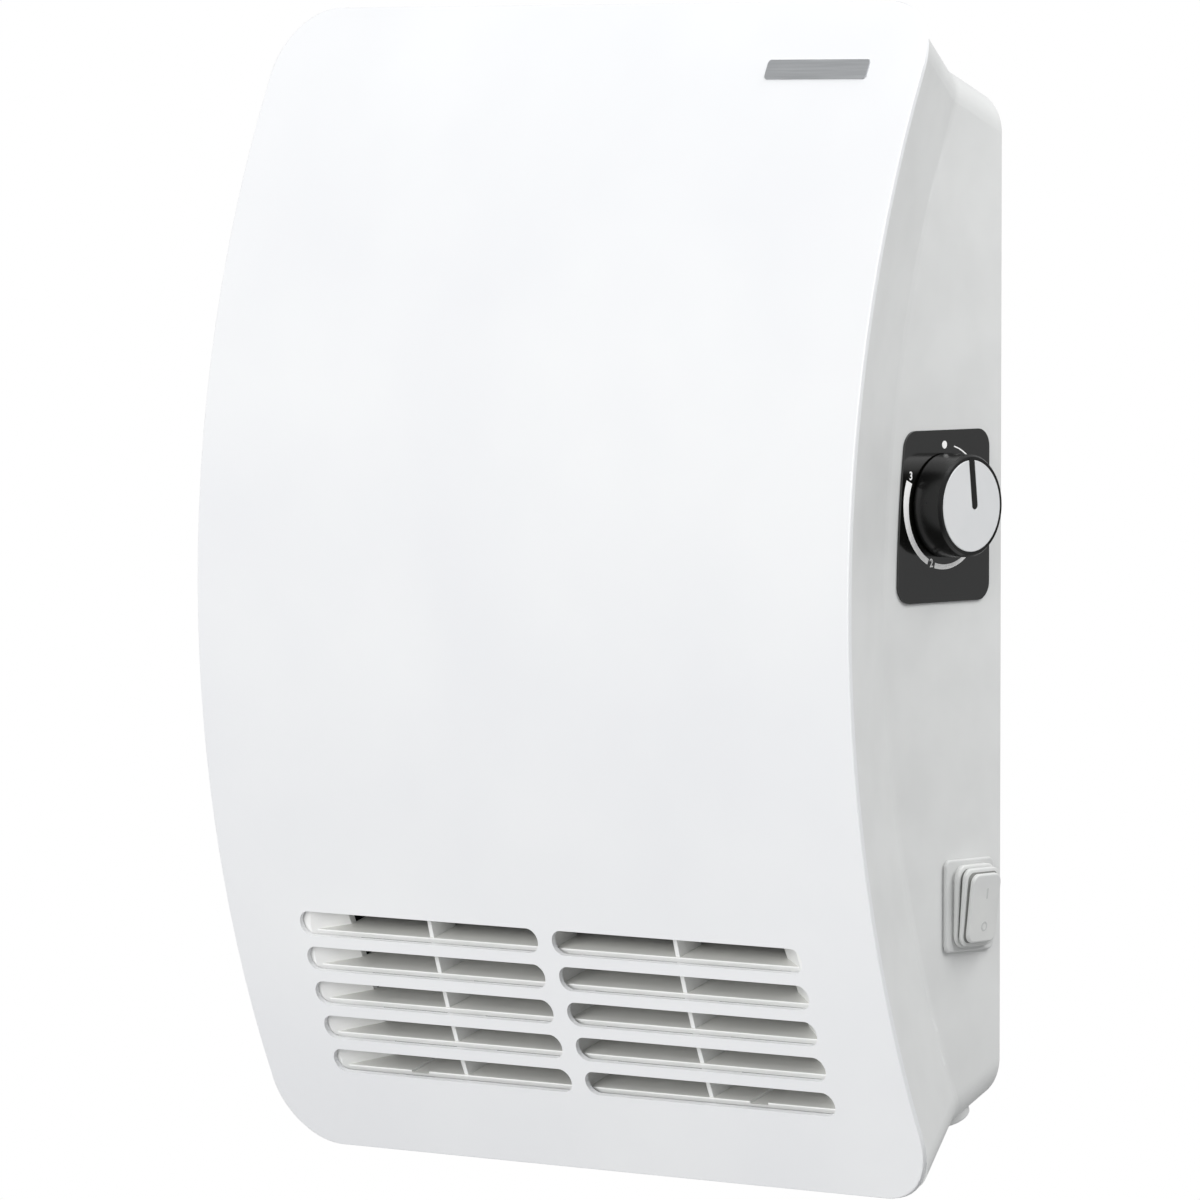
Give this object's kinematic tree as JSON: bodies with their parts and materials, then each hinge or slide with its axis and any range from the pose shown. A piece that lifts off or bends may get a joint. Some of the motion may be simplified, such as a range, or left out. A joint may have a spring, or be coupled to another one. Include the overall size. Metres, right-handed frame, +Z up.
{
  "type": "fan convector heater",
  "caption": "Wall-mounted fan heater with a bent slotted front panel, a louvred outlet, a side thermostat knob and a sealed rocker switch.",
  "frame": {"origin": "centre of the back face, on the wall plane, midway up the front panel", "axes": "+X to the right seen from the room, +Y into the wall, +Z up; the front panel faces -Y"},
  "size_m": [0.335, 0.123, 0.46],
  "materials": {
    "panel_paint": "satin",
    "housing_plastic": "satin",
    "grille_plastic": "satin",
    "badge_metal": "satin",
    "scale_gloss": "gloss",
    "knob_black": "satin",
    "disc_satin": "satin",
    "switch_plastic": "satin",
    "boot_rubber": "matte",
    "lever_nylon": "matte",
    "galvanised": "satin",
    "duct_black": "matte",
    "screw_zinc": "satin",
    "shaft_steel": "polished",
    "motor_steel": "matte",
    "coil_tape": "matte",
    "wheel_aluminium": "satin",
    "element_sheath": "matte",
    "ceramic": "matte",
    "phenolic": "matte",
    "brass_parts": "satin",
    "bronze": "satin",
    "copper": "satin",
    "clip_nylon": "matte",
    "mount_rubber": "matte",
    "gland_nylon": "matte",
    "lead_insulation": "matte"
  },
  "bodies": {
    "heater": {"front_panel": "panel_paint", "rear_housing": "housing_plastic", "outlet_grille": "grille_plastic", "badge_plate": "badge_metal", "scale_plate": "scale_gloss", "switch_frame": "switch_plastic", "switch_boot": "boot_rubber", "panel_brackets": "galvanised", "wall_bracket": "galvanised", "heater_frame": "galvanised", "motor_brackets": "galvanised", "fan_scroll": "duct_black", "fan_tongue": "duct_black", "fan_end_plate_left": "duct_black", "fan_end_plate_right": "duct_black", "duct_cheeks": "duct_black", "panel_screws": "screw_zinc", "grille_screws": "screw_zinc", "fan_screws": "screw_zinc", "motor_bolts": "screw_zinc", "bolt_nuts": "screw_zinc", "terminal_screws": "screw_zinc", "motor_core": "motor_steel", "motor_coil": "coil_tape", "element_fins": "wheel_aluminium", "heating_element": "element_sheath", "element_insulators": "ceramic", "thermostat_body": "phenolic", "thermal_cutout": "phenolic", "thermostat_nut": "brass_parts", "switch_terminals": "brass_parts", "motor_bearings": "bronze", "far_bearing": "bronze", "thermostat_bulb": "copper", "bulb_clips": "clip_nylon", "terminal_block": "clip_nylon", "bearing_mount": "mount_rubber", "motor_spacers": "mount_rubber", "cable_gland": "gland_nylon", "gland_cap": "gland_nylon", "gland_locknut": "gland_nylon", "wiring": "lead_insulation"},
    "knob": {"knob": "knob_black", "knob_disc": "disc_satin", "thermostat_shaft": "shaft_steel"},
    "rocker": {"rocker": "lever_nylon", "rocker_cover": "boot_rubber"},
    "fan_rotor": {"fan_wheel": "wheel_aluminium", "motor_shaft": "shaft_steel", "stub_shaft": "shaft_steel", "motor_rotor": "motor_steel", "shaft_coupling": "mount_rubber"}
  },
  "joints": [
    {"name": "knob_turn", "type": "hinge", "parent": "heater", "child": "knob", "pos_m": [0.15, -0.0373, 0.0364], "axis": [-1, 0, 0], "range_deg": [0, 300]},
    {"name": "rocker_tilt", "type": "hinge", "parent": "heater", "child": "rocker", "pos_m": [0.1472, -0.022, -0.1191], "axis": [0, -1, 0], "range_deg": [0, 14], "deforming": ["switch_boot"]},
    {"name": "fan_spin", "type": "hinge", "parent": "heater", "child": "fan_rotor", "pos_m": [0, -0.048, -0.092], "axis": [1, 0, 0], "continuous": true}
  ]
}
